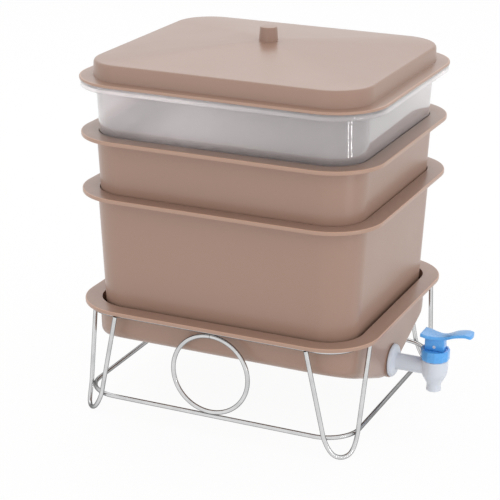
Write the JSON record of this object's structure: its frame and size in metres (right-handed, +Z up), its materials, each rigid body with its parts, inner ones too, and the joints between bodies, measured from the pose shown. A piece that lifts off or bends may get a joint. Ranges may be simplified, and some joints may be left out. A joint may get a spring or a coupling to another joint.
{
  "type": "wormery",
  "caption": "Stacking worm composter: rectangular trays with wide flanges and a domed lid over a collector tray with a lever tap, on a bright wire stand with round ornaments.",
  "frame": {"origin": "on the floor, under the middle of the trays", "axes": "+X along the long side towards the tap, +Y to the back, +Z up"},
  "size_m": [0.4261, 0.3132, 0.4295],
  "materials": {
    "bin_plastic": "taupe brown, softly glossy moulded plastic",
    "knob_plastic": "taupe brown, satin",
    "clear_plastic": "see-through, slightly frosted grey plastic",
    "tap_plastic": "milky white, semi-gloss",
    "blue_plastic": "bright blue, glossy",
    "wire": "bright plated wire",
    "rubber": "black, matte",
    "spring_steel": "plain drawn wire",
    "screw_steel": "zinc plated"
  },
  "bodies": {
    "stand": {"stand_top_ring": "wire", "stand_lower_ring": "wire", "stand_leg_front_left": "wire", "stand_leg_front_right": "wire", "stand_leg_rear_left": "wire", "stand_leg_rear_right": "wire", "stand_ornament_front": "wire", "stand_ornament_rear": "wire"},
    "collector": {"collector_tray": "bin_plastic", "tap_body": "tap_plastic", "tap_outer_washer": "rubber", "tap_inner_washer": "rubber", "tap_lock_nut": "tap_plastic", "tap_collar": "blue_plastic"},
    "valve": {"tap_stem": "tap_plastic", "tap_seal": "rubber", "tap_pivot_pin": "tap_plastic", "tap_spring": "spring_steel"},
    "lever": {"tap_lever": "blue_plastic"},
    "deep": {"deep_tray": "bin_plastic"},
    "shallow": {"shallow_tray": "bin_plastic"},
    "clear": {"clear_tray": "clear_plastic"},
    "top": {"lid": "bin_plastic", "lid_knob": "knob_plastic", "knob_screw": "screw_steel"}
  },
  "joints": [
    {"name": "collector_lift", "type": "slide", "parent": "stand", "child": "collector", "axis": [0, 0, 1], "range_m": [0, 0.035]},
    {"name": "deep_tray_lift", "type": "slide", "parent": "collector", "child": "deep", "axis": [0, 0, 1], "range_m": [0, 0.06]},
    {"name": "shallow_tray_lift", "type": "slide", "parent": "deep", "child": "shallow", "axis": [0, 0, 1], "range_m": [0, 0.06]},
    {"name": "clear_tray_lift", "type": "slide", "parent": "shallow", "child": "clear", "axis": [0, 0, 1], "range_m": [0, 0.06]},
    {"name": "lid_lift", "type": "slide", "parent": "clear", "child": "top", "axis": [0, 0, 1], "range_m": [0, 0.08]},
    {"name": "tap_stem_lift", "type": "slide", "parent": "collector", "child": "valve", "axis": [0, 0, 1], "range_m": [0, 0.0034], "deforming": ["tap_spring"]},
    {"name": "tap_lever_press", "type": "hinge", "parent": "valve", "child": "lever", "pos_m": [0.2075, 0, 0.088], "axis": [0, 1, 0], "range_deg": [0, 22], "stiffness_Nm_per_rad": 0.04, "springref_deg": -17.19}
  ],
  "couplings": [
    {"joint": "tap_lever_press", "follows": "tap_stem_lift", "rad_per_m": 101}
  ]
}
